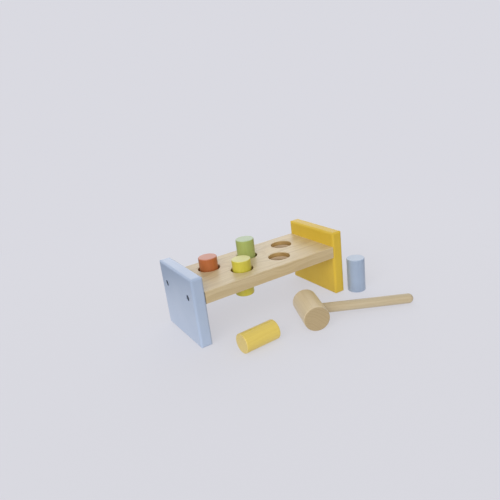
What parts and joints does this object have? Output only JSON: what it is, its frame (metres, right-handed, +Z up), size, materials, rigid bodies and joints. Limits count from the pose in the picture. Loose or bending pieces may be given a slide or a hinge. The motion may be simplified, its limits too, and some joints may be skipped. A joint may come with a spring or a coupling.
{
  "type": "peg pounding bench",
  "caption": "Wooden pounding bench: a pierced deck between painted end boards, with coloured pegs held by soft rings in its staggered holes, and a round-headed mallet.",
  "frame": {"origin": "on the floor, under the middle of the box round the whole set (bench and loose pieces)", "axes": "+X along the bench towards the yellow end board, -Y to the front where the loose pieces lie, +Z up"},
  "size_m": [0.269, 0.191, 0.096],
  "materials": {
    "natural_wood": "smooth clear-finished wood",
    "blue_paint": "satin painted wood",
    "yellow_paint": "satin painted wood",
    "orange_stain": "satin stained wood",
    "lime_stain": "satin stained wood",
    "green_stain": "satin stained wood",
    "yellow_stain": "satin stained wood",
    "blue_stain": "satin stained wood",
    "mallet_wood": "smooth clear-finished wood",
    "soft_ring": "matt soft rubber",
    "screw_steel": "bright zinc-plated steel"
  },
  "bodies": {
    "bench": {"deck": "natural_wood", "end_board_left": "blue_paint", "end_board_right": "yellow_paint", "screws_left": "screw_steel", "screws_right": "screw_steel", "grip_ring_1": "soft_ring", "grip_ring_2": "soft_ring", "grip_ring_3": "soft_ring", "grip_ring_4": "soft_ring", "grip_ring_5": "soft_ring"},
    "peg_orange": {"peg_orange": "orange_stain"},
    "peg_lime": {"peg_lime": "lime_stain"},
    "peg_green": {"peg_green": "green_stain"},
    "peg_yellow": {"peg_yellow": "yellow_stain"},
    "peg_blue": {"peg_blue": "blue_stain"},
    "mallet": {"mallet_head": "mallet_wood", "mallet_handle": "mallet_wood"}
  },
  "joints": [
    {"name": "peg_orange_slide", "type": "slide", "parent": "bench", "child": "peg_orange", "axis": [0, 0, 1], "range_m": [-0.016, 0.0345]},
    {"name": "peg_lime_slide", "type": "slide", "parent": "bench", "child": "peg_lime", "axis": [0, 0, 1], "range_m": [-0.014, 0.0365]},
    {"name": "peg_green_slide", "type": "slide", "parent": "bench", "child": "peg_green", "axis": [0, 0, 1], "range_m": [-0.025, 0.0255]},
    {"name": "peg_yellow_lift", "type": "slide", "parent": "bench", "child": "peg_yellow", "axis": [0, 0, 1], "range_m": [0, 0.12]},
    {"name": "peg_blue_lift", "type": "slide", "parent": "bench", "child": "peg_blue", "axis": [0, 0, 1], "range_m": [0, 0.12]},
    {"name": "mallet_lift", "type": "slide", "parent": "bench", "child": "mallet", "axis": [0, 0, 1], "range_m": [0, 0.12]}
  ]
}
